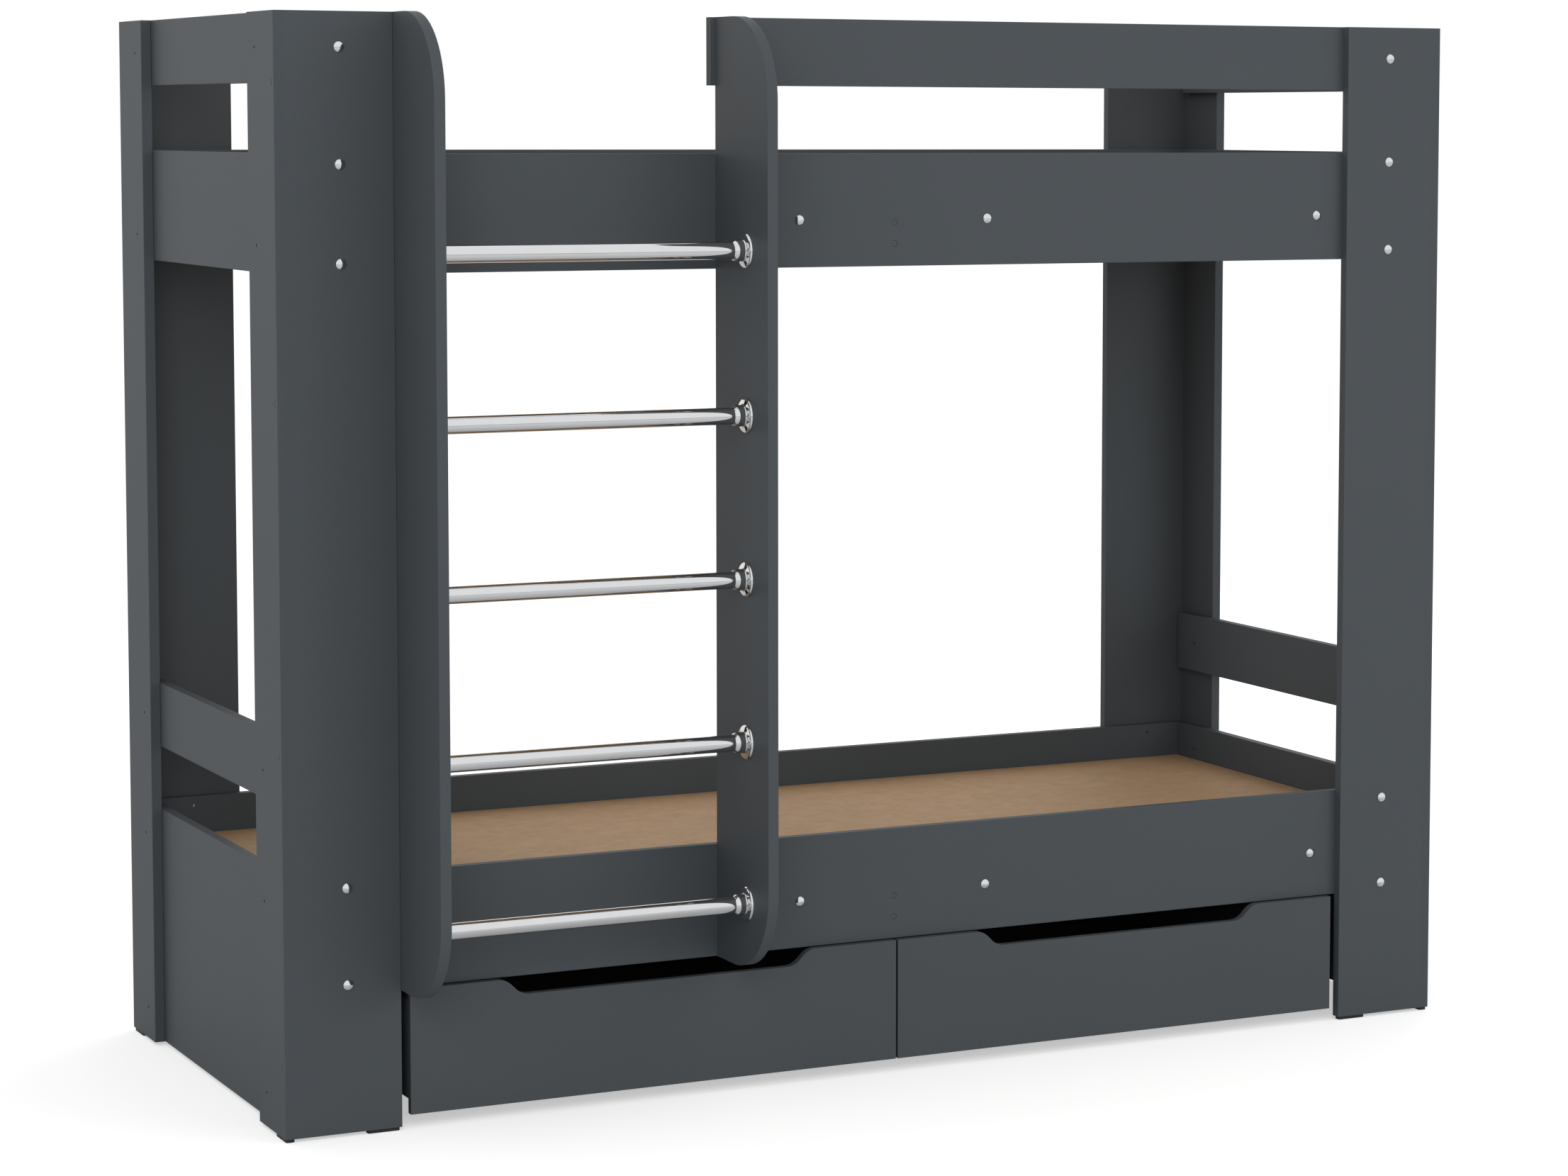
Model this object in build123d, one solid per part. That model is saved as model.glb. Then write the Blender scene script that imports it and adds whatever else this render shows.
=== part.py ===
from build123d import *
import os

os.makedirs("parts", exist_ok=True)

# A bunk bed of laminated boards with a ladder of chrome rungs and two drawers on castors.
# Lengths are in millimetres. x runs along the bed from the ladder end, y from the front to
# the back and z up from the floor, with zero at the middle of the bed's footprint.

# Driving sizes of the whole bed.
bed_length = 1940.0
bed_depth = 800.0
bed_height = 1604.0
board = 16.0
edge_radius = 1.0

# Posts: an end board and a long-side board meet in an L at each corner and stand on glides.
end_board_width = 125.0
side_board_width = 158.0
glide_height = 5.0
glide_length = 48.0
glide_width = 13.0
glide_end_gap = 3.0
glide_corner_share = 0.25

# Rails. The same gap parts the two rails of each stacked pair.
slim_rail_height = 100.0
rail_gap = 99.5
side_rail_height = 170.0
lower_rail_bottom = 205.0
guard_lap = 7.2

# Base of each bunk: two half panels over a cross beam, on battens along the side rails.
base_height_in_rail = 95.0
base_thickness = 16.0
base_clearance = 1.0
beam_height = 90.0
cleat_height = 49.0
# Shares of the tray's half length, from the bed's middle to each bolt and past each bolt.
cleat_inner_bolt_share = 0.168
cleat_outer_bolt_share = 0.799
cleat_end_share = 0.075

# Ladder.
ladder_reach = 171.5
ladder_inner_width = 485.6
cheek_corner_radius = 124.0
rung_diameter = 25.0
rung_wall = 1.5
rung_reach = 95.0
first_rung_height = 99.2
rung_pitch = 240.1
rung_count = 5

# Rung flange, measured outward from the cheek's face. The screws lie between collar and rim.
flange_floor = 2.0
flange_edge_height = 4.0
flange_edge_round = 4.0
flange_foot_height = 6.2
flange_foot_round = 2.4
flange_wall = 3.1
flange_collar_end = 15.4
flange_length = 22.8
flange_mouth_wall = 0.1
flange_bore_clearance = 0.1
flange_screw_gap = 0.2
flange_screw_rim = 1.7
flange_screw_seat = 3.7
rung_end_gap = 0.5

# Fasteners.
bolt_head_radius = 7.6
bolt_head_height = 4.5
bolt_head_rim = 0.9
bolt_radius = 2.5
bolt_hole_clearance = 0.15
bolt_end_depth = 3.0
bolt_rail_edge = 15.0
end_screw_radius = 2.3
end_screw_sink = 0.5
end_screw_inset = 89.0
end_screw_socket_radius = 1.2
end_screw_socket_depth = 2.0
upper_rail_screw_height = 40.0
panel_screw_top_gap = 41.0
panel_screw_bottom_gap = 50.0
cap_radius = 4.7
cap_fit_gap = 0.1
cap_thickness = 2.6
cap_sink = 0.3
cap_edge = 0.4
corner_cap_end_gap = 100.0
corner_cap_pitch = 449.6
beam_cap_spacing = 32.3
small_screw_radius = 1.75
small_screw_head_radius = 4.1
small_screw_length = 14.0

# Drawers.
drawer_board = 12.0
drawer_front_recess = 4.0
drawer_front_bottom = 20.0
drawer_front_top_gap = 1.0
drawer_side_gap = 14.5
drawer_middle_gap = 3.8
drawer_depth = 700.0
box_bottom = 41.5
box_height = 145.0
handle_width = 462.0
handle_depth = 24.0
handle_radius_share = 1.2

# Castors, each a moulded fork with a plate on top and a wheel turning on a pin.
wheel_radius = 17.0
wheel_width = 15.0
wheel_edge = 1.5
pin_radius = 2.5
pin_running_clearance = 0.05
fork_side_clearance = 0.6
fork_cheek = 2.6
fork_plate_thickness = 2.5
fork_plate_margin = 5.0
fork_plate_length = 44.0
fork_boss_radius = 6.0
fork_pin_overhang = 0.8
castor_side_inset = 92.0
castor_front_inset = 146.0
castor_back_inset = 84.0

# Radii and planes that the pieces share.
bolt_hole_radius = bolt_radius + bolt_hole_clearance
rung_radius = rung_diameter / 2
flange_bore_radius = rung_radius + flange_bore_clearance
collar_radius = flange_bore_radius + flange_wall
flange_screw_circle = collar_radius + flange_screw_gap + small_screw_head_radius
flange_radius = flange_screw_circle + small_screw_head_radius + flange_screw_rim
left = -bed_length / 2
front = -(bed_depth + bolt_head_height - ladder_reach) / 2
back = front + bed_depth
mid_depth = (front + back) / 2
inner_left = left + 2 * board
inner_front = front + 2 * board
half_tray = -inner_left
post_edge = left + board + side_board_width
post_middle = left + board + side_board_width / 2
lower_rail_top = lower_rail_bottom + side_rail_height
middle_rail_bottom = lower_rail_top + rail_gap
guard_bottom = bed_height - slim_rail_height
upper_rail_top = guard_bottom - rail_gap
upper_rail_bottom = upper_rail_top - side_rail_height
side_to_side = Plane.YZ
front_to_back = Plane.XZ.offset(-mid_depth)


def block(x, y, z):
    """A rectangular solid between two limits along each axis."""
    middle = Pos((x[0] + x[1]) / 2, (y[0] + y[1]) / 2, (z[0] + z[1]) / 2)
    return middle * Box(x[1] - x[0], y[1] - y[0], z[1] - z[0])


def eased_board(x, y, z, *free_edges):
    """A board whose free edges, each named by its two faces, are slightly rounded."""
    faces = {
        "left": ("X", x[0]),
        "right": ("X", x[1]),
        "front": ("Y", y[0]),
        "back": ("Y", y[1]),
        "bottom": ("Z", z[0]),
        "top": ("Z", z[1]),
    }
    solid = block(x, y, z)
    rounded = []
    for pair in free_edges:
        sides = [faces[name] for name in pair.split()]
        for edge in solid.edges():
            centre = edge.center()
            if all(abs(getattr(centre, axis) - at) < edge_radius / 2 for axis, at in sides):
                rounded.append(edge)
    return fillet(rounded, edge_radius)


def rod_along_x(x, y, z, radius):
    """A round bar from x[0] to x[1]."""
    return Pos((x[0] + x[1]) / 2, y, z) * Rot(0, 90, 0) * Cylinder(radius, x[1] - x[0])


def rod_along_y(x, y, z, radius):
    """A round bar from y[0] to y[1]."""
    return Pos(x, (y[0] + y[1]) / 2, z) * Rot(90, 0, 0) * Cylinder(radius, y[1] - y[0])


def flip(shape, plane):
    """The same piece mirrored to the other side of the bed."""
    return mirror(shape, about=plane)


def save(node, *shapes):
    """Write one node, which is a single piece or a group of identical fasteners."""
    solids = [solid for shape in shapes for solid in shape.solids()]
    export_step(solids[0] if len(solids) == 1 else Compound(solids), f"parts/{node}.step")


def spread(name, shape):
    """Save a left piece and its mirror image on the right."""
    save(f"left_{name}", shape)
    save(f"right_{name}", flip(shape, side_to_side))


# Heights of the fasteners along the posts and rails.
side_rail_bolt_heights = [
    upper_rail_top - bolt_rail_edge,
    upper_rail_bottom + bolt_rail_edge,
    lower_rail_top - bolt_rail_edge,
    lower_rail_bottom + bolt_rail_edge,
]
guard_bolt_height = guard_bottom + slim_rail_height / 2
top_rail_screws = [guard_bottom + slim_rail_height / 2]
upper_rail_screws = [upper_rail_bottom + upper_rail_screw_height]
middle_rail_screws = [middle_rail_bottom + slim_rail_height / 2]
panel_screws = [lower_rail_top - panel_screw_top_gap, glide_height + panel_screw_bottom_gap]
end_screw_heights = top_rail_screws + upper_rail_screws + middle_rail_screws + panel_screws
corner_cap_heights = [
    glide_height + corner_cap_end_gap,
    glide_height + corner_cap_end_gap + corner_cap_pitch,
    bed_height - corner_cap_end_gap - corner_cap_pitch,
    bed_height - corner_cap_end_gap,
]
post_z = (glide_height, bed_height)
cap_socket = cap_thickness + cap_sink


# Side boards of the posts: the wide faces on the long sides, with one bolt hole at each bolt.
def side_post_board(bolt_heights):
    solid = eased_board(
        (left + board, post_edge), (front, front + board), post_z, "right front", "front top"
    )
    for height in bolt_heights:
        solid -= rod_along_y(post_middle, (front, front + board), height, bolt_hole_radius)
    return solid


front_post_board = side_post_board([guard_bolt_height] + side_rail_bolt_heights)
back_post_board = flip(side_post_board(side_rail_bolt_heights), front_to_back)
spread("front_side_board", front_post_board)
spread("back_side_board", back_post_board)

# End boards of the posts: they cover the edges of the side boards and carry the end rails. Capped
# sockets over the side board's edge hide the corner screws.
end_post_board = eased_board(
    (left, left + board),
    (front, front + end_board_width),
    post_z,
    "left front",
    "left back",
    "right back",
    "left top",
    "front top",
    "back top",
)
for height in end_screw_heights:
    end_post_board -= rod_along_x(
        (left, left + board), front + end_screw_inset, height, end_screw_radius
    )
for height in corner_cap_heights:
    end_post_board -= rod_along_x(
        (left, left + cap_socket), front + board / 2, height, cap_radius + cap_fit_gap
    )
spread("front_end_board", end_post_board)
spread("back_end_board", flip(end_post_board, front_to_back))


# End rails stand between the side rails, inside the end boards.
def end_rail(bottom, top, screw_heights, *free_edges):
    solid = eased_board(
        (left + board, inner_left), (inner_front, back - 2 * board), (bottom, top), *free_edges
    )
    for height in screw_heights:
        for y in (front + end_screw_inset, back - end_screw_inset):
            solid -= rod_along_x((left + board, inner_left), y, height, end_screw_radius)
    return solid


rail_edges = ("left top", "right top", "left bottom", "right bottom")
spread("top_rail", end_rail(guard_bottom, bed_height, top_rail_screws, *rail_edges))
spread("upper_rail", end_rail(upper_rail_bottom, upper_rail_top, upper_rail_screws, *rail_edges))
spread(
    "middle_rail",
    end_rail(
        middle_rail_bottom,
        middle_rail_bottom + slim_rail_height,
        middle_rail_screws,
        *rail_edges,
    ),
)
spread("lower_panel", end_rail(glide_height, lower_rail_top, panel_screws, *rail_edges))

# Bolts of the battens along each side rail, from the ladder end.
cleat_inner_bolt = half_tray * cleat_inner_bolt_share
cleat_outer_bolt = half_tray * cleat_outer_bolt_share
cleat_bolt_xs = [-cleat_outer_bolt, -cleat_inner_bolt, cleat_inner_bolt, cleat_outer_bolt]
cleat_middle_in_rail = base_height_in_rail - cleat_height / 2
beam_middle_in_rail = base_height_in_rail - beam_height / 2
beam_cap_offsets = (-beam_cap_spacing / 2, beam_cap_spacing / 2)


# Side rails run the whole length behind the posts.
def side_rail(bottom):
    rail_y = (front + board, inner_front)
    solid = eased_board(
        (left + board, -left - board),
        rail_y,
        (bottom, bottom + side_rail_height),
        "front top",
        "back top",
        "front bottom",
        "back bottom",
    )
    for x in (post_middle, -post_middle):
        for height in (bottom + bolt_rail_edge, bottom + side_rail_height - bolt_rail_edge):
            solid -= rod_along_y(x, rail_y, height, bolt_hole_radius)
    for x in cleat_bolt_xs:
        solid -= rod_along_y(x, rail_y, bottom + cleat_middle_in_rail, bolt_hole_radius)
    for offset in beam_cap_offsets:
        solid -= rod_along_y(
            0,
            (front + board, front + board + cap_socket),
            bottom + beam_middle_in_rail + offset,
            cap_radius + cap_fit_gap,
        )
    return solid


for level, bottom in (("upper", upper_rail_bottom), ("lower", lower_rail_bottom)):
    save(f"{level}_front_rail", side_rail(bottom))
    save(f"{level}_back_rail", flip(side_rail(bottom), front_to_back))

# Ladder cheeks stand on the side rails' front faces, and the first is against the post.
cheek_y = (front - ladder_reach, front + board)
cheek_z = (lower_rail_bottom, bed_height)
left_cheek_x = (post_edge, post_edge + board)
right_cheek_x = (left_cheek_x[1] + ladder_inner_width, left_cheek_x[1] + ladder_inner_width + board)
rung_y = front - rung_reach
rung_heights = [
    lower_rail_bottom + first_rung_height + rung_pitch * step for step in range(rung_count)
]

# The guard rail laps past the far cheek, and a short piece of it ties the near cheek to its post.
guard_spans = {
    "guard_rail": (right_cheek_x[0] - guard_lap, -left - board),
    "short_guard_rail": (left + board, left_cheek_x[1] + guard_lap),
}
guard_bolts = {"guard_rail": -post_middle, "short_guard_rail": post_middle}
for name, span in guard_spans.items():
    guard = eased_board(
        span,
        (front + board, inner_front),
        (guard_bottom, bed_height),
        "front top",
        "back top",
        "front bottom",
        "back bottom",
    )
    guard -= rod_along_y(
        guard_bolts[name], (front + board, inner_front), guard_bolt_height, bolt_hole_radius
    )
    save(name, guard)

# Base of each bunk: two half panels that meet, edge to edge, over the cross beam.
panel_x = (inner_left + base_clearance, 0)
panel_y = (inner_front + base_clearance, back - 2 * board - base_clearance)
for level, bottom in (("upper", upper_rail_bottom), ("lower", lower_rail_bottom)):
    panel_bottom = bottom + base_height_in_rail
    half = block(panel_x, panel_y, (panel_bottom, panel_bottom + base_thickness))
    save(f"{level}_base_halves", half, flip(half, side_to_side))

# Cross beams under the seam of the half panels, from one side rail to the other.
beams = []
for bottom in (upper_rail_bottom, lower_rail_bottom):
    beam_top = bottom + base_height_in_rail
    beams.append(
        block(
            (-board / 2, board / 2),
            (inner_front, back - 2 * board),
            (beam_top - beam_height, beam_top),
        )
    )
save("cross_beams", *beams)

# Battens under the half panels: strips of the same board, each bolted twice through its rail.
cleats = []
cleat_end = half_tray * cleat_end_share
for bottom in (upper_rail_bottom, lower_rail_bottom):
    cleat_top = bottom + base_height_in_rail
    cleat = block(
        (-cleat_outer_bolt - cleat_end, -cleat_inner_bolt + cleat_end),
        (inner_front, inner_front + board),
        (cleat_top - cleat_height, cleat_top),
    )
    for x in cleat_bolt_xs[:2]:
        cleat -= rod_along_y(
            x,
            (inner_front, inner_front + board),
            bottom + cleat_middle_in_rail,
            bolt_hole_radius,
        )
    near_pair = [cleat, flip(cleat, side_to_side)]
    cleats += near_pair + [flip(piece, front_to_back) for piece in near_pair]
save("base_cleats", *cleats)


# Ladder cheeks, with both front corners widely rounded and pilot holes for the flange screws.
def ladder_cheek(x, face, inward):
    solid = block(x, cheek_y, cheek_z)
    corners = solid.edges().filter_by(Axis.X).group_by(Axis.Y)[0]
    solid = fillet(corners, cheek_corner_radius)
    hole = (face, face - inward * (small_screw_length - flange_screw_seat))
    for height in rung_heights:
        for side in (-flange_screw_circle, flange_screw_circle):
            solid -= rod_along_x(sorted(hole), rung_y + side, height, small_screw_radius)
    return solid


save("left_ladder_cheek", ladder_cheek(left_cheek_x, left_cheek_x[1], 1))
save("right_ladder_cheek", ladder_cheek(right_cheek_x, right_cheek_x[0], -1))

# Rungs: chrome tubes whose ends sit inside the flanges.
rung_x = (
    left_cheek_x[1] + flange_floor + rung_end_gap,
    right_cheek_x[0] - flange_floor - rung_end_gap,
)
for number, height in enumerate(rung_heights, start=1):
    tube = rod_along_x(rung_x, rung_y, height, rung_radius)
    tube -= rod_along_x(rung_x, rung_y, height, rung_radius - rung_wall)
    save(f"rung_{number}", tube)

# Rung flanges: a shallow cone with a round edge, a filleted collar, and a lip that rounds down
# to the tube. The profile is drawn along x from the cheek's face and turned about x.
flange_outline = Polyline(
    (flange_length, flange_bore_radius + flange_mouth_wall),
    (flange_length, flange_bore_radius),
    (flange_floor, flange_bore_radius),
    (flange_floor, 0),
    (0, 0),
    (0, flange_radius),
    (flange_edge_height, flange_radius),
    (flange_foot_height, collar_radius),
    (flange_collar_end, collar_radius),
)
flange_lip = TangentArc(flange_outline @ 1, flange_outline @ 0, tangent=(1, 0))
flange_face = make_face(flange_outline + flange_lip)
edge_corner = flange_face.vertices().sort_by_distance((flange_edge_height, flange_radius))[0]
flange_face = fillet(edge_corner, flange_edge_round)
foot_corner = flange_face.vertices().sort_by_distance((flange_foot_height, collar_radius))[0]
flange_face = fillet(foot_corner, flange_foot_round)
flange = revolve(flange_face, Axis.X)
head_depth = small_screw_head_radius - small_screw_radius
small_shank = Cylinder(small_screw_radius, small_screw_length)
small_head = Cone(small_screw_radius, small_screw_head_radius, head_depth)
small_screw = Pos(0, 0, flange_screw_seat - small_screw_length / 2) * small_shank
small_screw += Pos(0, 0, flange_screw_seat - head_depth / 2) * small_head
small_screw = Rot(0, 90, 0) * small_screw
way_in = rod_along_x((flange_screw_seat, flange_length), 0, 0, small_screw_head_radius)
screw_pair = []
for side in (-flange_screw_circle, flange_screw_circle):
    screw_pair.append(Pos(0, side, 0) * small_screw)
    flange -= screw_pair[-1] + Pos(0, side, 0) * way_in

flanges = []
flange_screws = []
for height in rung_heights:
    near = Pos(left_cheek_x[1], rung_y, height)
    far = Pos(right_cheek_x[0], rung_y, height)
    flanges += [near * flange, far * flip(flange, side_to_side)]
    for screw in screw_pair:
        flange_screws += [near * screw, far * flip(screw, side_to_side)]
save("rung_flanges", *flanges)
save("flange_screws", *flange_screws)

# Glides under both ends of each L, flat plastic pads with rounded corners.
glide_inset = (board - glide_width) / 2


def glide(x, y):
    pad = block(x, y, (0, glide_height))
    return fillet(pad.edges().filter_by(Axis.Z), glide_width * glide_corner_share)


end_glide = glide(
    (left + glide_inset, left + glide_inset + glide_width),
    (front + glide_end_gap, front + glide_end_gap + glide_length),
)
side_glide = glide(
    (post_edge - glide_end_gap - glide_length, post_edge - glide_end_gap),
    (front + glide_inset, front + glide_inset + glide_width),
)
corner_glides = [end_glide, side_glide]
front_glides = corner_glides + [flip(pad, side_to_side) for pad in corner_glides]
save("glides", *front_glides, *[flip(pad, front_to_back) for pad in front_glides])


# Chrome bolts, all alike: a domed head with a short straight rim, and a shank that stops inside
# the second of the two boards that it joins.
shank_length = 2 * board - bolt_end_depth


def dome_bolt(x, face, height):
    rise = bolt_head_height - bolt_head_rim
    dome_radius = (bolt_head_radius**2 + rise**2) / (2 * rise)
    head = Pos(0, 0, bolt_head_rim / 2) * Cylinder(bolt_head_radius, bolt_head_rim)
    ball = Pos(0, 0, bolt_head_height - dome_radius) * Sphere(dome_radius)
    head += ball & Pos(0, 0, bolt_head_rim + rise / 2) * Cylinder(bolt_head_radius, rise)
    shank = Pos(0, 0, -shank_length / 2) * Cylinder(bolt_radius, shank_length)
    return Pos(x, face, height) * Rot(90, 0, 0) * (head + shank)


front_bolts = []
guard_rail_bolts = []
for x in (post_middle, -post_middle):
    guard_rail_bolts.append(dome_bolt(x, front, guard_bolt_height))
    for height in side_rail_bolt_heights:
        front_bolts.append(dome_bolt(x, front, height))
for x in cleat_bolt_xs:
    for bottom in (upper_rail_bottom, lower_rail_bottom):
        front_bolts.append(dome_bolt(x, front + board, bottom + cleat_middle_in_rail))
back_bolts = [flip(bolt, front_to_back) for bolt in front_bolts]
save("chrome_bolts", *guard_rail_bolts, *front_bolts, *back_bolts)

# Dark headless screws that hold the end rails to the end boards, sunk a little at both faces.
end_screws = []
for height in end_screw_heights:
    for y in (front + end_screw_inset, back - end_screw_inset):
        screw_x = (left + end_screw_sink, inner_left - end_screw_sink)
        screw = rod_along_x(screw_x, y, height, end_screw_radius)
        screw -= rod_along_x(
            (screw_x[0], screw_x[0] + end_screw_socket_depth), y, height, end_screw_socket_radius
        )
        end_screws += [screw, flip(screw, side_to_side)]
save("end_rail_screws", *end_screws)


# Colour-matched caps, set a little below the face they are in.
def cap(turn):
    disc = Cylinder(cap_radius, cap_thickness)
    rim = disc.edges().sort_by(Axis.Z)[-1]
    return turn * Pos(0, 0, -cap_sink - cap_thickness / 2) * chamfer(rim, cap_edge)


caps = []
for height in corner_cap_heights:
    corner_cap = Pos(left, front + board / 2, height) * cap(Rot(0, -90, 0))
    near_caps = [corner_cap, flip(corner_cap, side_to_side)]
    caps += near_caps + [flip(piece, front_to_back) for piece in near_caps]
for bottom in (upper_rail_bottom, lower_rail_bottom):
    for offset in beam_cap_offsets:
        beam_cap = Pos(0, front + board, bottom + beam_middle_in_rail + offset) * cap(Rot(90, 0, 0))
        caps += [beam_cap, flip(beam_cap, front_to_back)]
save("cover_caps", *caps)

# Drawers. The front overhangs the box below, and both share their ends. A finger cut-out with
# S-curved ends is sunk into the front's top edge.
drawer_width = (-2 * post_edge - 2 * drawer_side_gap - drawer_middle_gap) / 2
drawer_pitch = drawer_width + drawer_middle_gap
drawer_x = (post_edge + drawer_side_gap, post_edge + drawer_side_gap + drawer_width)
drawer_front_y = (front + drawer_front_recess, front + drawer_front_recess + drawer_board)
drawer_back = front + drawer_front_recess + drawer_depth
front_top = lower_rail_bottom - drawer_front_top_gap
box_z = (box_bottom, box_bottom + box_height)

drawer_front = block(drawer_x, drawer_front_y, (drawer_front_bottom, front_top))
handle_middle = (drawer_x[0] + drawer_x[1]) / 2
half_mouth = (handle_width + handle_depth) / 2
half_floor = (handle_width - handle_depth) / 2
handle_outline = make_face(
    Polyline(
        (handle_middle - half_mouth, front_top),
        (handle_middle - half_floor, front_top - handle_depth),
        (handle_middle + half_floor, front_top - handle_depth),
        (handle_middle + half_mouth, front_top),
        close=True,
    )
)
drawer_front -= extrude(
    Plane.XZ.offset(-drawer_front_y[1]) * handle_outline, amount=drawer_board
)
handle_corners = [
    edge
    for edge in drawer_front.edges().filter_by(Axis.Y)
    if abs(edge.center().X - handle_middle) < half_mouth + edge_radius
]
drawer_front = fillet(handle_corners, handle_depth * handle_radius_share)

drawer_side = block(
    (drawer_x[0], drawer_x[0] + drawer_board), (drawer_front_y[1], drawer_back), box_z
)
far_drawer_side = block(
    (drawer_x[1] - drawer_board, drawer_x[1]), (drawer_front_y[1], drawer_back), box_z
)
between_sides = (drawer_x[0] + drawer_board, drawer_x[1] - drawer_board)
drawer_back_board = block(between_sides, (drawer_back - drawer_board, drawer_back), box_z)
drawer_bottom = block(
    between_sides,
    (drawer_front_y[1], drawer_back - drawer_board),
    (box_bottom, box_bottom + drawer_board),
)

# Castor fork: two cheeks that hang from a screw plate under the drawer's bottom, with the axle
# pin through both bosses. It is drawn with the wheel's centre over x = 0, y = 0.
fork_gap = wheel_width + 2 * fork_side_clearance
fork_width = fork_gap + 2 * fork_cheek
plate_width = fork_width + 2 * fork_plate_margin
plate_bottom = box_bottom - fork_plate_thickness
cheek_foot = Pos(0, wheel_radius) * Circle(fork_boss_radius)
cheek_head = Pos(0, plate_bottom) * Rectangle(wheel_radius * 2, fork_plate_thickness)
cheek_outline = make_hull((cheek_foot + cheek_head).edges())
fork_cheek_solid = extrude(Plane.YZ * cheek_outline, amount=fork_cheek)
plate = block(
    (-plate_width / 2, plate_width / 2),
    (-fork_plate_length / 2, fork_plate_length / 2),
    (plate_bottom, box_bottom),
)
fork = plate + Pos(fork_gap / 2, 0, 0) * fork_cheek_solid
fork += Pos(-fork_gap / 2 - fork_cheek, 0, 0) * fork_cheek_solid
fork -= rod_along_x((-fork_width, fork_width), 0, wheel_radius, pin_radius)
pin_reach = fork_width / 2 + fork_pin_overhang
pin = rod_along_x((-pin_reach, pin_reach), 0, wheel_radius, pin_radius)
tyre = rod_along_x((-wheel_width / 2, wheel_width / 2), 0, wheel_radius, wheel_radius)
tyre = chamfer(tyre.edges().filter_by(GeomType.CIRCLE), wheel_edge)
wheel = tyre - rod_along_x(
    (-wheel_width, wheel_width), 0, wheel_radius, pin_radius + pin_running_clearance
)
castor_spots = {
    "front_left": (drawer_x[0] + castor_side_inset, drawer_front_y[0] + castor_front_inset),
    "front_right": (drawer_x[1] - castor_side_inset, drawer_front_y[0] + castor_front_inset),
    "back_left": (drawer_x[0] + castor_side_inset, drawer_back - castor_back_inset),
    "back_right": (drawer_x[1] - castor_side_inset, drawer_back - castor_back_inset),
}
for name, place in (("left", Pos(0, 0, 0)), ("right", Pos(drawer_pitch, 0, 0))):
    save(f"{name}_drawer_front", place * drawer_front)
    save(f"{name}_drawer_left_side", place * drawer_side)
    save(f"{name}_drawer_right_side", place * far_drawer_side)
    save(f"{name}_drawer_back", place * drawer_back_board)
    save(f"{name}_drawer_bottom", place * drawer_bottom)
    fork_solids = []
    for corner, (x, y) in castor_spots.items():
        spot = place * Pos(x, y, 0)
        fork_solids += [spot * fork, spot * pin]
        save(f"{name}_drawer_wheel_{corner}", spot * wheel)
    save(f"{name}_castor_forks", *fork_solids)
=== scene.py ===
from math import asin, cos, degrees, pi, radians, sin, tan

import bpy
from mathutils import Euler, Matrix, Vector


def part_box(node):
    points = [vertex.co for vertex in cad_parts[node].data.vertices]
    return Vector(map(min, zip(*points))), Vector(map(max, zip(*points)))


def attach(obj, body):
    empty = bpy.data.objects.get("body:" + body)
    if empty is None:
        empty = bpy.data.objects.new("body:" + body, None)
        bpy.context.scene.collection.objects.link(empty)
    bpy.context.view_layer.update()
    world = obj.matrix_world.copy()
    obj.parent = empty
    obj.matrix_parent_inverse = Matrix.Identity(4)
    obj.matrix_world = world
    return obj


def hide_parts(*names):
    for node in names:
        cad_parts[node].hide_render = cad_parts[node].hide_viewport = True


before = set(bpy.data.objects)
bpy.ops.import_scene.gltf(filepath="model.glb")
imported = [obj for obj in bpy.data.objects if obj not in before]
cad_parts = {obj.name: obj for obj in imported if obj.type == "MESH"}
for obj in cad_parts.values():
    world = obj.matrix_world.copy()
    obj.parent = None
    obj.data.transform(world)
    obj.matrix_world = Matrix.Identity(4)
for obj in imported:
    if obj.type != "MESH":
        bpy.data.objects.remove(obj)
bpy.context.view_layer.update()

MM = 0.001


# Posts: each corner is an end board and a side board in an L, sawn from melamine-faced
# chipboard, with edges banded in the same grey and slightly rounded. The end board covers the
# side board's edge, and the two meet without a visible line.
def linear(code):
    """An sRGB hex colour as the linear colour that a shader takes."""
    channels = [int(code[i : i + 2], 16) / 255 for i in (1, 3, 5)]
    return (*[c / 12.92 if c <= 0.04045 else ((c + 0.055) / 1.055) ** 2.4 for c in channels], 1)


def add(tree, kind, inputs=None, **settings):
    """Adds a node with its settings. An input is a value, or the socket that feeds it."""
    made = tree.nodes.new("ShaderNode" + kind)
    for name, value in settings.items():
        setattr(made, name, value)
    for key, value in (inputs or {}).items():
        if isinstance(value, bpy.types.NodeSocket):
            tree.links.new(value, made.inputs[key])
        else:
            made.inputs[key].default_value = value
    return made


def new_finish(name):
    """An empty material and its node tree."""
    finish = bpy.data.materials.new(name)
    finish.use_nodes = True
    finish.node_tree.nodes.clear()
    return finish, finish.node_tree


def dress(node, finish):
    """Gives a CAD node its finish."""
    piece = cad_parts[node]
    piece.data.materials.clear()
    piece.data.materials.append(finish)


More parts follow.
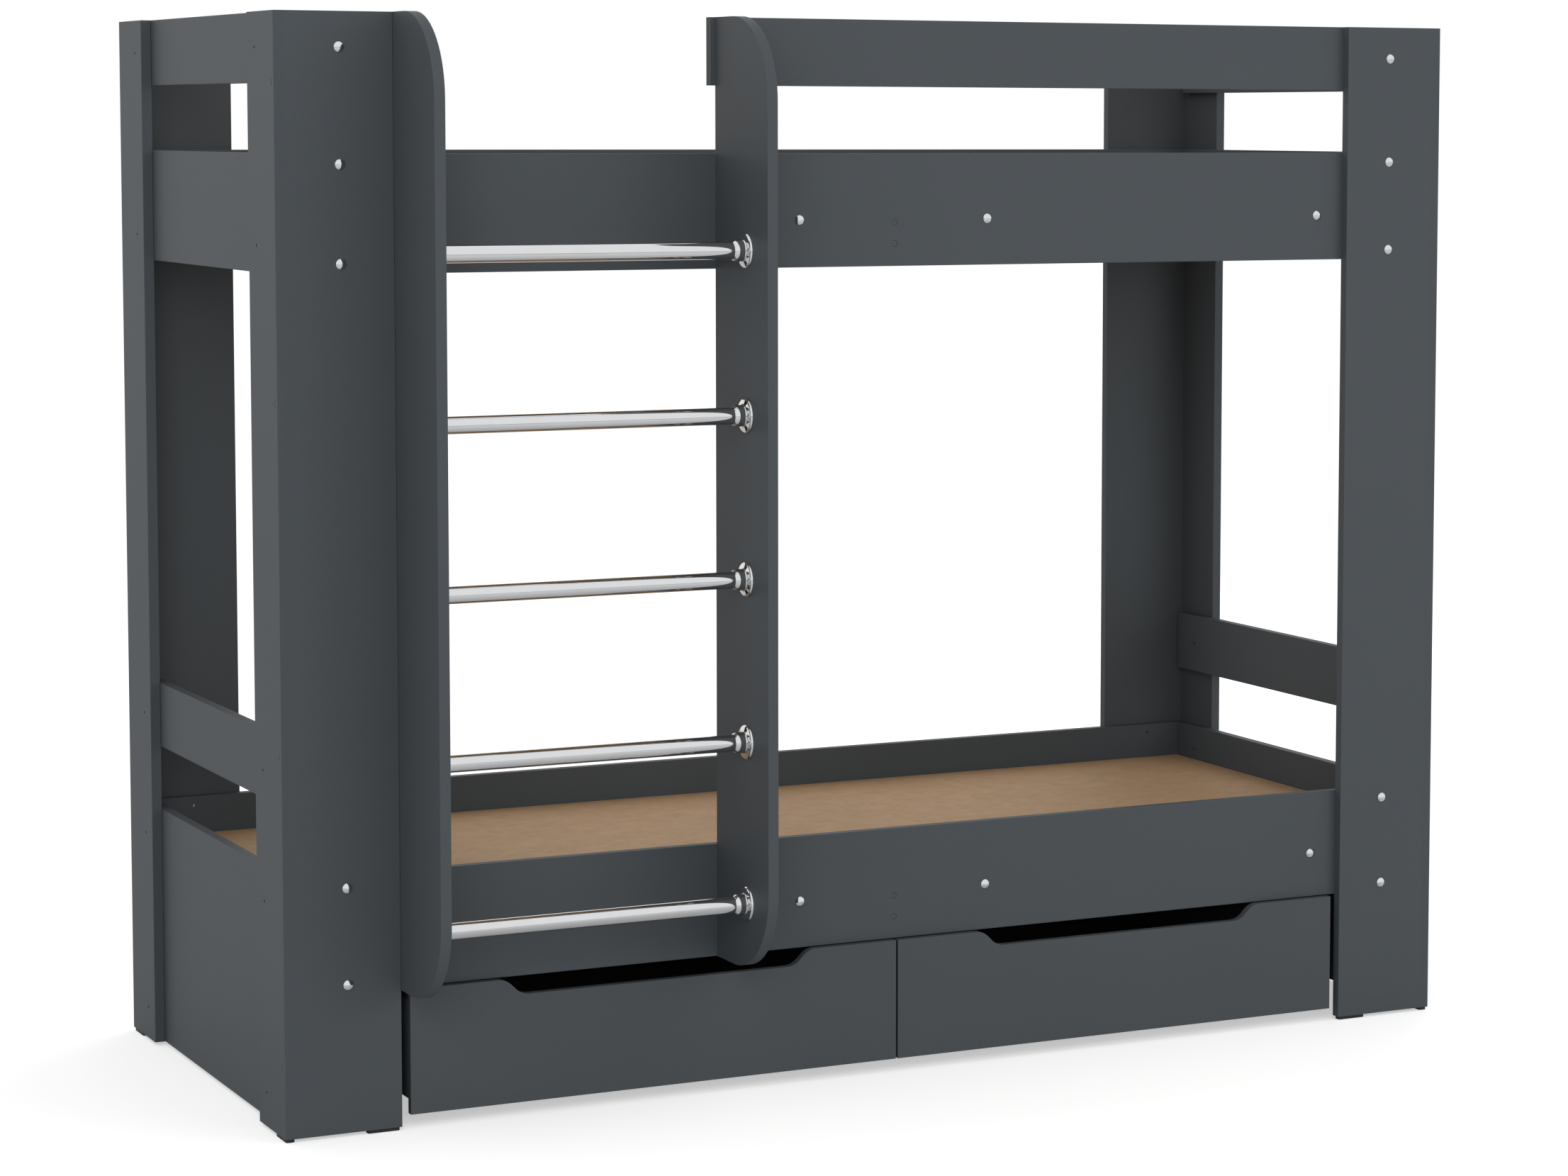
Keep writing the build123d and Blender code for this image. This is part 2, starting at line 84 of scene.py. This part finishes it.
# Melamine-faced chipboard in anthracite: resin-soaked paper pressed under a satin steel plate.
# It has a fine pearl grain, too fine to show at its real 0.5 mm, so it is drawn at 2.4 mm. The
# paper's colour drifts very slightly over a few hundred millimetres. The ABS edge band is a
# little paler and duller than the face. A board's thin direction tells face from edge.
def melamine_board(name, thin_direction):
    grain = 2.4 * MM
    drift = 320 * MM
    least_alignment = 0.6
    finish, tree = new_finish(name)
    place = add(tree, "TexCoord").outputs["Object"]
    pearl = add(tree, "TexNoise", {"Vector": place, "Scale": 1 / grain, "Detail": 2.0})
    cloud = add(tree, "TexNoise", {"Vector": place, "Scale": 1 / drift, "Detail": 3.0})
    tone = add(
        tree,
        "MixRGB",
        {"Fac": cloud.outputs[0], "Color1": linear("#454a4e"), "Color2": linear("#494e52")},
    )
    fleck = add(
        tree,
        "MapRange",
        {"Value": pearl.outputs[0], "From Min": 0.35, "From Max": 0.65, "To Max": 0.16},
    )
    face = add(
        tree,
        "MixRGB",
        {"Fac": fleck.outputs[0], "Color1": tone.outputs[0], "Color2": linear("#565b5f")},
    )
    normal = add(tree, "NewGeometry").outputs["Normal"]
    across = add(tree, "VectorMath", {0: normal, 1: thin_direction}, operation="DOT_PRODUCT")
    aligned = add(tree, "Math", {0: across.outputs["Value"]}, operation="ABSOLUTE")
    banded = add(tree, "Math", {0: aligned.outputs[0], 1: least_alignment}, operation="LESS_THAN")
    colour = add(
        tree,
        "MixRGB",
        {"Fac": banded.outputs[0], "Color1": face.outputs[0], "Color2": linear("#4a4f53")},
    )
    gloss = add(tree, "MapRange", {"Value": pearl.outputs[0], "To Min": 0.46, "To Max": 0.58})
    sheen = add(tree, "MapRange", {"Value": banded.outputs[0], "To Min": 0.25, "To Max": 0.16})
    bump = add(
        tree, "Bump", {"Height": pearl.outputs[0], "Strength": 0.05, "Distance": 0.2 * MM}
    )
    shader = add(
        tree,
        "BsdfPrincipled",
        {
            "Base Color": colour.outputs[0],
            "Roughness": gloss.outputs[0],
            "Normal": bump.outputs[0],
            "IOR": 1.48,
            "Specular IOR Level": sheen.outputs[0],
        },
    )
    add(tree, "OutputMaterial", {"Surface": shader.outputs[0]})
    return finish


across_bed = melamine_board("melamine_on_end_boards", (1, 0, 0))
along_bed = melamine_board("melamine_on_side_boards", (0, 1, 0))
lying_flat = melamine_board("melamine_on_flat_boards", (0, 0, 1))
for side in ("left", "right"):
    for end in ("front", "back"):
        dress(f"{side}_{end}_end_board", across_bed)
        dress(f"{side}_{end}_side_board", along_bed)

# End rails and panels: the same board, screwed to the insides of the end boards, with a slim
# rail at the top and in the middle, a deep one at the upper bunk and a panel down to the floor.
for side in ("left", "right"):
    for rail in ("top_rail", "upper_rail", "middle_rail", "lower_panel"):
        dress(f"{side}_{rail}", across_bed)

# Side rails, guard rail and the short guard piece: boards on edge that run behind the posts.
# Strips of the same board under the base carry it, with one cross beam under each seam.
for rail in ("upper_front_rail", "upper_back_rail", "lower_front_rail", "lower_back_rail"):
    dress(rail, along_bed)
for rail in ("guard_rail", "short_guard_rail", "base_cleats"):
    dress(rail, along_bed)
dress("cross_beams", across_bed)


# Base of each bunk: two half panels of bare hardboard, laid loose on the strips. It is wood
# fibre pressed wet on a mesh, warm brown and matt, with a slight sheen on the wisps that the
# press ironed flat.
def pressed_hardboard():
    """Hardboard, with wisps and clouds. Its 1 mm flecks of bark are drawn at 3 mm, to show."""
    wisp = 30 * MM
    cloud = 160 * MM
    fibre = 3 * MM
    finish, tree = new_finish("pressed_hardboard")
    place = add(tree, "TexCoord").outputs["Object"]
    wisps = add(
        tree,
        "TexNoise",
        {"Vector": place, "Scale": 1 / wisp, "Detail": 6.0, "Roughness": 0.62, "Distortion": 0.9},
    )
    clouds = add(tree, "TexNoise", {"Vector": place, "Scale": 1 / cloud, "Detail": 2.0})
    fibres = add(
        tree, "TexNoise", {"Vector": place, "Scale": 1 / fibre, "Detail": 3.0, "Roughness": 0.7}
    )
    wisp_share = add(
        tree, "MapRange", {"Value": wisps.outputs[0], "From Min": 0.35, "From Max": 0.65}
    )
    ground = add(
        tree,
        "MixRGB",
        {"Fac": wisp_share.outputs[0], "Color1": linear("#b3926d"), "Color2": linear("#be9b76")},
    )
    cloud_share = add(
        tree,
        "MapRange",
        {"Value": clouds.outputs[0], "From Min": 0.4, "From Max": 0.7, "To Max": 0.5},
    )
    clouded = add(
        tree,
        "MixRGB",
        {"Fac": cloud_share.outputs[0], "Color1": ground.outputs[0], "Color2": linear("#b69270")},
    )
    fleck_share = add(
        tree,
        "MapRange",
        {"Value": fibres.outputs[0], "From Min": 0.55, "From Max": 0.75, "To Max": 0.2},
    )
    flecked = add(
        tree,
        "MixRGB",
        {"Fac": fleck_share.outputs[0], "Color1": clouded.outputs[0], "Color2": linear("#927255")},
    )
    gloss = add(tree, "MapRange", {"Value": wisps.outputs[0], "To Min": 0.8, "To Max": 0.6})
    bump = add(
        tree, "Bump", {"Height": fibres.outputs[0], "Strength": 0.15, "Distance": 0.3 * MM}
    )
    shader = add(
        tree,
        "BsdfPrincipled",
        {
            "Base Color": flecked.outputs[0],
            "Roughness": gloss.outputs[0],
            "Normal": bump.outputs[0],
            "IOR": 1.5,
        },
    )
    add(tree, "OutputMaterial", {"Surface": shader.outputs[0]})
    return finish


hardboard = pressed_hardboard()
dress("upper_base_halves", hardboard)
dress("lower_base_halves", hardboard)

# Ladder cheeks: two boards on edge that stand out in front of the bed, their front corners
# sawn to a wide arc and banded in one strip.
dress("left_ladder_cheek", across_bed)
dress("right_ladder_cheek", across_bed)


# Rung flanges: cast zinc, turned and chromed. A shallow cone with a round edge lies on the cheek.
# A fillet leads into the collar, and the collar's lip rounds down to the tube. Each flange is
# held by two screws, countersunk in front of and behind the collar.
def polished_chrome():
    """Bright chrome plate: almost a mirror, with faint wiping marks some 30 mm across."""
    smear = 30 * MM
    finish, tree = new_finish("polished_chrome")
    place = add(tree, "TexCoord").outputs["Object"]
    marks = add(tree, "TexNoise", {"Vector": place, "Scale": 1 / smear, "Detail": 3.0})
    gloss = add(tree, "MapRange", {"Value": marks.outputs[0], "To Min": 0.03, "To Max": 0.075})
    tint = add(
        tree,
        "MixRGB",
        {"Fac": marks.outputs[0], "Color1": linear("#d6d7d9"), "Color2": linear("#dcddde")},
    )
    shader = add(
        tree,
        "BsdfPrincipled",
        {"Base Color": tint.outputs[0], "Metallic": 1.0, "Roughness": gloss.outputs[0]},
    )
    add(tree, "OutputMaterial", {"Surface": shader.outputs[0]})
    return finish


def in_edit_mode(piece, chosen):
    """Opens a piece in edit mode with only those of its faces selected that chosen says."""
    bpy.ops.object.select_all(action="DESELECT")
    piece.select_set(True)
    bpy.context.view_layer.objects.active = piece
    bpy.ops.object.mode_set(mode="EDIT")
    bpy.ops.mesh.select_mode(type="FACE")
    bpy.ops.mesh.select_all(action="DESELECT")
    bpy.ops.object.mode_set(mode="OBJECT")
    for face in piece.data.polygons:
        face.select = chosen(face)
    bpy.ops.object.mode_set(mode="EDIT")


def start_disc(name, radius, thickness, sides):
    """A disc on z = 0, from which a turned part grows along z."""
    bpy.ops.object.select_all(action="DESELECT")
    bpy.ops.mesh.primitive_cylinder_add(
        vertices=sides, radius=radius, depth=thickness, location=(0, 0, thickness / 2)
    )
    piece = bpy.context.object
    piece.name = name
    bpy.ops.object.transform_apply(location=True, rotation=True, scale=True)
    return piece


def square_end(face):
    """Whether a face lies square across a turned part's axis, as its flat ends do."""
    return abs(face.normal.z) > 0.99


def turn_on(piece, profile, radius, height):
    """Pulls the top face from ring to ring of a turned profile of (radius, height) pairs."""
    hair = 0.01 * MM
    in_edit_mode(piece, lambda face: square_end(face) and face.center.z > height - hair)
    for next_radius, next_height in profile:
        bpy.ops.mesh.extrude_region_move(
            TRANSFORM_OT_translate={"value": (0, 0, next_height - height)}
        )
        share = next_radius / radius
        bpy.ops.transform.resize(value=(share, share, 1), center_override=(0, 0, next_height))
        radius, height = next_radius, next_height
    bpy.ops.object.mode_set(mode="OBJECT")


def smooth(piece, angle=32):
    """Smooth shading, with edges sharper than the angle left crisp."""
    bpy.ops.object.select_all(action="DESELECT")
    piece.select_set(True)
    bpy.context.view_layer.objects.active = piece
    bpy.ops.object.shade_smooth_by_angle(angle=radians(angle))


def copies(name, master, places, finish):
    """One piece of many like parts: a copy of the master's mesh at each place, then joined."""
    bpy.ops.object.select_all(action="DESELECT")
    for number, place in enumerate(places):
        mesh = master.data.copy()
        mesh.transform(place)
        part = bpy.data.objects.new(f"{name}_{number}", mesh)
        bpy.context.scene.collection.objects.link(part)
        part.select_set(True)
        bpy.context.view_layer.objects.active = part
    bpy.ops.object.join()
    group = bpy.context.view_layer.objects.active
    group.name = name
    group.data.materials.clear()
    group.data.materials.append(finish)
    bpy.data.objects.remove(master)
    return group


def arc(radius, height, size, start, end, steps):
    """Points on an arc about (radius, height), in degrees up from straight outwards."""
    turns = [radians(start + (end - start) * step / steps) for step in range(steps + 1)]
    return [(radius + size * cos(turn), height + size * sin(turn)) for turn in turns]


def in_mm(pairs):
    """A profile's pairs of millimetres, in metres."""
    return [(radius * MM, height * MM) for radius, height in pairs]


def cut_away(piece, cutter):
    """Cuts the cutter's shape out of a piece, and removes the cutter."""
    cut = piece.modifiers.new(cutter.name, "BOOLEAN")
    cut.operation = "DIFFERENCE"
    cut.object = cutter
    bpy.context.view_layer.objects.active = piece
    bpy.ops.object.modifier_apply(modifier=cut.name)
    bpy.data.objects.remove(cutter)


chrome = polished_chrome()
turned_sides = 96
disc_radius = 25.8
disc_side = 0.8
edge_round = 4.0
edge_first_turn = 8
edge_steps = 9
cone_tilt = 77
foot_round = 2.4
foot_steps = 8
collar_radius = 15.7
lip_start = 15.4
lip_steps = 16
flange_length = 22.8
tube_bore_radius = 12.6
mouth_wall = 0.1
bore_floor = 3.0
# The disc's own rim is the edge's first ring, so its arc begins a little further round.
edge_middle = disc_radius - edge_round
edge = arc(edge_middle, disc_side, edge_round, edge_first_turn, cone_tilt, edge_steps)
cone_slope = radians(90 - cone_tilt)
cone_reach = edge[-1][0] - collar_radius - foot_round
foot_height = edge[-1][1] + cone_reach * tan(cone_slope) + foot_round / cos(cone_slope)
foot_middle = collar_radius + foot_round
foot = arc(foot_middle, foot_height, foot_round, 180 + cone_tilt, 180, foot_steps)
lip_reach = flange_length - lip_start
lip_drop = collar_radius - tube_bore_radius - mouth_wall
lip_round = (lip_reach**2 + lip_drop**2) / (2 * lip_drop)
lip_end = degrees(asin(lip_reach / lip_round))
lip = arc(collar_radius - lip_round, lip_start, lip_round, 0, lip_end, lip_steps)
mouth = [(tube_bore_radius, flange_length), (tube_bore_radius, bore_floor)]
flange = start_disc("flange", disc_radius * MM, disc_side * MM, turned_sides)
turn_on(flange, in_mm(edge + foot + lip + mouth), disc_radius * MM, disc_side * MM)

# Each countersink is a cone with a straight way in.
small_sides = 48
screw_offset = 20.0 * MM
hole_radius = 1.9
hole_start = 0.5
cone_start = 1.4
screw_seat = 3.7
head_radius = 4.1
head_clearance = 0.1
way_in_end = 12.0
way_in = head_radius + head_clearance
countersink = [(hole_radius, cone_start), (way_in, screw_seat), (way_in, way_in_end)]
for offset in (-screw_offset, screw_offset):
    cutter = start_disc("countersink", hole_radius * MM, hole_start * MM, small_sides)
    turn_on(cutter, in_mm(countersink), hole_radius * MM, hole_start * MM)
    cutter.data.transform(Matrix.Translation((offset, 0, 0)))
    cut_away(flange, cutter)
smooth(flange)

cheek_left, cheek_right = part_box("left_ladder_cheek"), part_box("right_ladder_cheek")
rung_count = 5
rung_boxes = [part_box(f"rung_{number}") for number in range(1, rung_count + 1)]
rung_centres = [(low + high) / 2 for low, high in rung_boxes]
# The part's own z turns to face along the bed, and its x to lie along y.
face_right = Euler((0, pi / 2, 0)).to_matrix().to_4x4() @ Matrix.Rotation(pi / 2, 4, "Z")
face_left = Matrix.Rotation(pi, 4, "Z") @ face_right
flange_places = []
for centre in rung_centres:
    near = Matrix.Translation((cheek_left[1].x, centre.y, centre.z))
    far = Matrix.Translation((cheek_right[0].x, centre.y, centre.z))
    flange_places += [near @ face_right, far @ face_left]
flanges = copies("rung_flanges_chromed", flange, flange_places, chrome)
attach(flanges, "bed")
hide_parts("rung_flanges")


# Flange screws: raised countersunk heads with a cross recess, chromed like the flange, on plain
# shanks that go through it into the cheek.
def cross_recess(piece, top, reach, width, depth):
    """Cuts a screwdriver cross into a head whose flat top is at that height."""
    for turn in (0, pi / 2):
        bpy.ops.object.select_all(action="DESELECT")
        bpy.ops.mesh.primitive_cube_add(size=1, location=(0, 0, top), rotation=(0, 0, turn))
        cutter = bpy.context.object
        # The cutter is centred on the head's top, so half of its height cuts.
        cutter.scale = (reach, width, depth * 2)
        cut_away(piece, cutter)


screw_shank_radius = 1.75
screw_length = 11.0
point_depth = 10.3
rim_round = 0.1
head_top = 4.5
raised_head = [(3.7, 4.0), (2.9, 4.3), (1.6, head_top)]
cross_reach = 4.2
cross_width = 0.9
cross_depth = 1.3
head = [
    (screw_shank_radius, cone_start),
    (head_radius - rim_round, screw_seat - rim_round),
    (head_radius, screw_seat),
    *raised_head,
]
screw = start_disc("flange_screw", screw_shank_radius * MM, screw_length * MM, small_sides)
screw.data.transform(Matrix.Translation((0, 0, -point_depth * MM)))
turn_on(screw, in_mm(head), screw_shank_radius * MM, (screw_length - point_depth) * MM)
cross_recess(screw, head_top * MM, cross_reach * MM, cross_width * MM, cross_depth * MM)
smooth(screw)
screw_places = []
for place in flange_places:
    for offset in (-screw_offset, screw_offset):
        screw_places.append(place @ Matrix.Translation((offset, 0, 0)))
screws = copies("flange_screws_chromed", screw, screw_places, chrome)
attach(screws, "bed")
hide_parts("flange_screws")


# Rungs: chromed steel tube, cut square, with the burr turned off both ends. The ends stop
# inside the flanges, so the bore is drawn only 30 mm deep.
def laid_in_box(low, high):
    """Turns a part that grows along z to grow along the bed, in the middle of a node's box."""
    middle = (low + high) / 2
    return Matrix.Translation((low.x, middle.y, middle.z)) @ Matrix.Rotation(pi / 2, 4, "Y")


rung_wall = 1.5 * MM
rung_bore_depth = 30 * MM
rung_end_round = 0.3 * MM
for number, (low, high) in enumerate(rung_boxes, start=1):
    length = high.x - low.x
    tube_radius = (high.z - low.z) / 2
    tube = start_disc(f"rung_{number}_tube", tube_radius, length, turned_sides)
    in_edit_mode(tube, square_end)
    bpy.ops.mesh.bevel(offset=rung_end_round, segments=2, affect="EDGES")
    bpy.ops.object.mode_set(mode="OBJECT")
    in_edit_mode(tube, square_end)
    bpy.ops.mesh.inset(thickness=rung_wall)
    bpy.ops.mesh.extrude_region_shrink_fatten(
        TRANSFORM_OT_shrink_fatten={"value": -rung_bore_depth}
    )
    bpy.ops.object.mode_set(mode="OBJECT")
    tube.data.transform(laid_in_box(low, high))
    smooth(tube, angle=20)
    tube.data.materials.append(chrome)
    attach(tube, "bed")
    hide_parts(f"rung_{number}")

# Chrome bolts: connector bolts with a smooth domed head and a plain shank, all alike. The heads
# stand on the posts' outer faces and, along the rails, hold the strips inside.
bolt_head_radius = 7.6
head_rim = 0.9
head_height = 4.5
dome_steps = 9
flat_top_steps = 0.5
bolt_shank_radius = 2.5
bolt_shank_length = 29.0
rise = head_height - head_rim
dome_radius = (bolt_head_radius**2 + rise**2) / (2 * rise)
dome_centre = head_height - dome_radius
# The last ring stops half a step short of the middle, which leaves the dome a tiny flat top.
dome = []
for step in range(1, dome_steps + 1):
    radius = bolt_head_radius * cos(pi / 2 * step / (dome_steps + flat_top_steps))
    dome.append((radius, dome_centre + (dome_radius**2 - radius**2) ** 0.5))
bolt = start_disc("bolt", bolt_head_radius * MM, head_rim * MM, small_sides)
turn_on(bolt, in_mm(dome), bolt_head_radius * MM, head_rim * MM)
in_edit_mode(bolt, lambda face: square_end(face) and face.center.z < head_rim * MM)
bpy.ops.mesh.inset(thickness=(bolt_head_radius - bolt_shank_radius) * MM)
bpy.ops.mesh.extrude_region_shrink_fatten(
    TRANSFORM_OT_shrink_fatten={"value": bolt_shank_length * MM}
)
bpy.ops.object.mode_set(mode="OBJECT")
smooth(bolt)

post_low, post_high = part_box("left_front_side_board")
post_middle = (post_low.x + post_high.x) / 2
front_face = post_low.y
rail_low, rail_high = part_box("upper_front_rail")
lower_low, lower_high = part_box("lower_front_rail")
guard_low, guard_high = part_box("guard_rail")
back_post_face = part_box("left_back_side_board")[1].y
back_rail_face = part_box("upper_back_rail")[1].y
bolt_edge = 15 * MM
cleat_height_in_rail = 70.5 * MM
cleat_shares = (-0.799, -0.168, 0.168, 0.799)
tray_half = rail_high.x - (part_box("left_upper_rail")[1].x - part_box("left_upper_rail")[0].x)
outward = {"front": Matrix.Rotation(pi / 2, 4, "X"), "back": Matrix.Rotation(-pi / 2, 4, "X")}
bolt_places = []
for x in (post_middle, -post_middle):
    guard_middle = (guard_low.z + guard_high.z) / 2
    bolt_places.append(Matrix.Translation((x, front_face, guard_middle)) @ outward["front"])
    for low, high in ((rail_low, rail_high), (lower_low, lower_high)):
        for z in (low.z + bolt_edge, high.z - bolt_edge):
            bolt_places.append(Matrix.Translation((x, front_face, z)) @ outward["front"])
            bolt_places.append(Matrix.Translation((x, back_post_face, z)) @ outward["back"])
for share in cleat_shares:
    x = share * tray_half
    for low in (rail_low, lower_low):
        z = low.z + cleat_height_in_rail
        bolt_places.append(Matrix.Translation((x, rail_low.y, z)) @ outward["front"])
        bolt_places.append(Matrix.Translation((x, back_rail_face, z)) @ outward["back"])
bolts = copies("chrome_bolts_domed", bolt, bolt_places, chrome)
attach(bolts, "bed")
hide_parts("chrome_bolts")


# End rail screws: headless, blackened steel, driven through the end boards' faces into the rails
# and panels behind, and sunk a little, so that they show as small dark dots.
def blackened_steel():
    """Oxide-blackened steel: near black, with the soft gloss of its oil, in 2 mm patches."""
    oil_patch = 2 * MM
    finish, tree = new_finish("blackened_steel")
    place = add(tree, "TexCoord").outputs["Object"]
    oil = add(tree, "TexNoise", {"Vector": place, "Scale": 1 / oil_patch, "Detail": 2.0})
    gloss = add(tree, "MapRange", {"Value": oil.outputs[0], "To Min": 0.4, "To Max": 0.6})
    tone = add(
        tree,
        "MixRGB",
        {"Fac": oil.outputs[0], "Color1": linear("#17181a"), "Color2": linear("#232427")},
    )
    shader = add(
        tree,
        "BsdfPrincipled",
        {"Base Color": tone.outputs[0], "Metallic": 1.0, "Roughness": gloss.outputs[0]},
    )
    add(tree, "OutputMaterial", {"Surface": shader.outputs[0]})
    return finish


dress("end_rail_screws", blackened_steel())


# Cover caps: small plugs over the corner and beam screws, moulded in the board's grey. They
# are polyethylene, as the glides are, and the castors are nylon.
def moulded_plastic(name, dark, pale, least_roughness, most_roughness):
    """Plastic from a spark-eroded mould, whose 0.4 mm grain is drawn at 1.2 mm, to show."""
    grain = 1.2 * MM
    finish, tree = new_finish(name)
    place = add(tree, "TexCoord").outputs["Object"]
    skin = add(tree, "TexNoise", {"Vector": place, "Scale": 1 / grain, "Detail": 2.0})
    tone = add(
        tree,
        "MixRGB",
        {"Fac": skin.outputs[0], "Color1": linear(dark), "Color2": linear(pale)},
    )
    gloss = add(
        tree,
        "MapRange",
        {"Value": skin.outputs[0], "To Min": least_roughness, "To Max": most_roughness},
    )
    bump = add(
        tree, "Bump", {"Height": skin.outputs[0], "Strength": 0.15, "Distance": 0.1 * MM}
    )
    shader = add(
        tree,
        "BsdfPrincipled",
        {
            "Base Color": tone.outputs[0],
            "Roughness": gloss.outputs[0],
            "Normal": bump.outputs[0],
            "IOR": 1.5,
        },
    )
    add(tree, "OutputMaterial", {"Surface": shader.outputs[0]})
    return finish


dress("cover_caps", moulded_plastic("grey_polyethylene", "#3d4145", "#42464a", 0.45, 0.6))

# Glides under both ends of each L: black polyethylene, nailed to the boards' sawn feet, so that
# the chipboard stands clear of a damp floor.
dress("glides", moulded_plastic("black_polyethylene", "#121213", "#1b1b1d", 0.45, 0.6))

# Drawers: a front with a finger cut-out in its top edge, and a box of the same board, 12 mm
# thick, that rolls on four castors.
for side in ("left", "right"):
    dress(f"{side}_drawer_front", along_bed)
    dress(f"{side}_drawer_back", along_bed)
    dress(f"{side}_drawer_left_side", across_bed)
    dress(f"{side}_drawer_right_side", across_bed)
    dress(f"{side}_drawer_bottom", lying_flat)

# Castors: a black nylon fork screwed under the drawer's bottom and a wheel on a steel pin. The
# wheel has a soft grey tread with rounded shoulders, a recessed web and a hub that runs between
# the fork's cheeks.
nylon = moulded_plastic("black_nylon", "#161618", "#202023", 0.35, 0.5)
tread_rubber = moulded_plastic("grey_tread_rubber", "#3b3b3e", "#46464a", 0.55, 0.75)
for side in ("left", "right"):
    dress(f"{side}_castor_forks", nylon)

wheel_sides = 64
wheel_radius = 17.0
wheel_width = 15.0
shoulder = 2.2
tread_thickness = 3.2
web_recess = 2.4
web_width = 7.0
bore_radius = 2.6
tread_foot = wheel_radius - tread_thickness
hub_radius = tread_foot - web_width
wheel = start_disc("wheel", wheel_radius * MM, wheel_width * MM, wheel_sides)
in_edit_mode(wheel, square_end)
bpy.ops.mesh.bevel(offset=shoulder * MM, segments=5, affect="EDGES")
bpy.ops.object.mode_set(mode="OBJECT")
in_edit_mode(wheel, square_end)
bpy.ops.mesh.inset(thickness=(tread_thickness - shoulder) * MM)
bpy.ops.mesh.extrude_region_shrink_fatten(
    TRANSFORM_OT_shrink_fatten={"value": -web_recess * MM}
)
bpy.ops.mesh.inset(thickness=web_width * MM)
bpy.ops.mesh.extrude_region_shrink_fatten(
    TRANSFORM_OT_shrink_fatten={"value": web_recess * MM}
)
bpy.ops.mesh.inset(thickness=(hub_radius - bore_radius) * MM)
bpy.ops.mesh.bridge_edge_loops()
bpy.ops.object.mode_set(mode="OBJECT")
smooth(wheel)
wheel.data.materials.append(nylon)
wheel.data.materials.append(tread_rubber)
hair = 0.01 * MM
for face in wheel.data.polygons:
    if face.center.xy.length > tread_foot * MM - hair:
        face.material_index = 1
for side in ("left", "right"):
    for corner in ("front_left", "front_right", "back_left", "back_right"):
        node = f"{side}_drawer_wheel_{corner}"
        low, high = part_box(node)
        mesh = wheel.data.copy()
        mesh.transform(laid_in_box(low, high))
        piece = bpy.data.objects.new(f"{node}_turned", mesh)
        bpy.context.scene.collection.objects.link(piece)
        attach(piece, node)
        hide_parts(node)
bpy.data.objects.remove(wheel)

# Studio: a white floor that keeps a soft shadow, and white all round for the camera and for
# what the chrome and the satin boards mirror. The floor lies a little below the glides' feet, so
# that no two faces share a plane.
floor_size = 60
floor_drop = 0.4 * MM
bpy.ops.object.select_all(action="DESELECT")
bpy.ops.mesh.primitive_plane_add(size=floor_size, location=(0, 0, -floor_drop))
floor = bpy.context.object
floor.name = "studio_floor"
floor_finish, tree = new_finish("studio_floor_white")
ray = add(tree, "LightPath")
glow = add(tree, "Emission", {"Color": linear("#ffffff"), "Strength": 0.5})
paper = add(tree, "BsdfDiffuse", {"Color": linear("#e2e2e2")})
lit = add(tree, "AddShader", {0: paper.outputs[0], 1: glow.outputs[0]})
seen = add(
    tree, "MixShader", {0: ray.outputs["Is Camera Ray"], 1: paper.outputs[0], 2: lit.outputs[0]}
)
add(tree, "OutputMaterial", {"Surface": seen.outputs[0]})
floor.data.materials.append(floor_finish)

world = bpy.data.worlds.new("white_studio")
bpy.context.scene.world = world
world.use_nodes = True
tree = world.node_tree
tree.nodes.clear()
ray = add(tree, "LightPath")
mirrored = add(
    tree,
    "Math",
    {0: ray.outputs["Is Glossy Ray"], 1: ray.outputs["Is Transmission Ray"]},
    operation="MAXIMUM",
)
shown = add(
    tree, "Math", {0: ray.outputs["Is Camera Ray"], 1: mirrored.outputs[0]}, operation="MAXIMUM"
)
level = add(tree, "MapRange", {"Value": shown.outputs[0], "To Min": 0.75, "To Max": 1.0})
sky = add(tree, "Background", {"Color": linear("#ffffff"), "Strength": level.outputs[0]})
add(tree, "OutputWorld", {"Surface": sky.outputs[0]})

# Lamps: three large soft boxes, aimed at the middle of the bed, with the strongest at the
# camera's side.
bed_middle = Vector((0, 0, 0.8))
soft_box_size = 3.0


def soft_box(name, place, power):
    """A large square lamp that mirrors don't show."""
    data = bpy.data.lights.new(name, "AREA")
    data.shape = "SQUARE"
    data.size = soft_box_size
    data.energy = power
    lamp = bpy.data.objects.new(name, data)
    bpy.context.scene.collection.objects.link(lamp)
    lamp.location = place
    lamp.rotation_euler = (bed_middle - Vector(place)).to_track_quat("-Z", "Y").to_euler()
    lamp.visible_glossy = False


soft_box("key_soft_box", place=(-3.3, -6.0, 3.0), power=105)
soft_box("fill_soft_box", place=(3.5, -5.0, 2.5), power=45)
soft_box("back_soft_box", place=(4.0, 4.5, 2.5), power=60)

# Camera, placed and aimed as the photograph's lines say. Most of its look down comes from its
# tilt, and the rest from the lens shift.
camera_place = (-2.645, -5.699, 1.450)
yaw = radians(27.11)
pitch = radians(4.88)
roll = radians(0.17)
camera_data = bpy.data.cameras.new("photo_camera")
camera_data.lens = 91.3
camera_data.sensor_width = 36
camera_data.shift_x = -0.1148
camera_data.shift_y = -0.08
camera_data.clip_end = 100
camera = bpy.data.objects.new("photo_camera", camera_data)
bpy.context.scene.collection.objects.link(camera)
aim = Euler((pi / 2 - pitch, 0, -yaw)).to_matrix() @ Matrix.Rotation(roll, 3, "Z")
camera.matrix_world = Matrix.Translation(camera_place) @ aim.to_4x4()
bpy.context.scene.camera = camera
bpy.context.scene.view_settings.view_transform = "Standard"
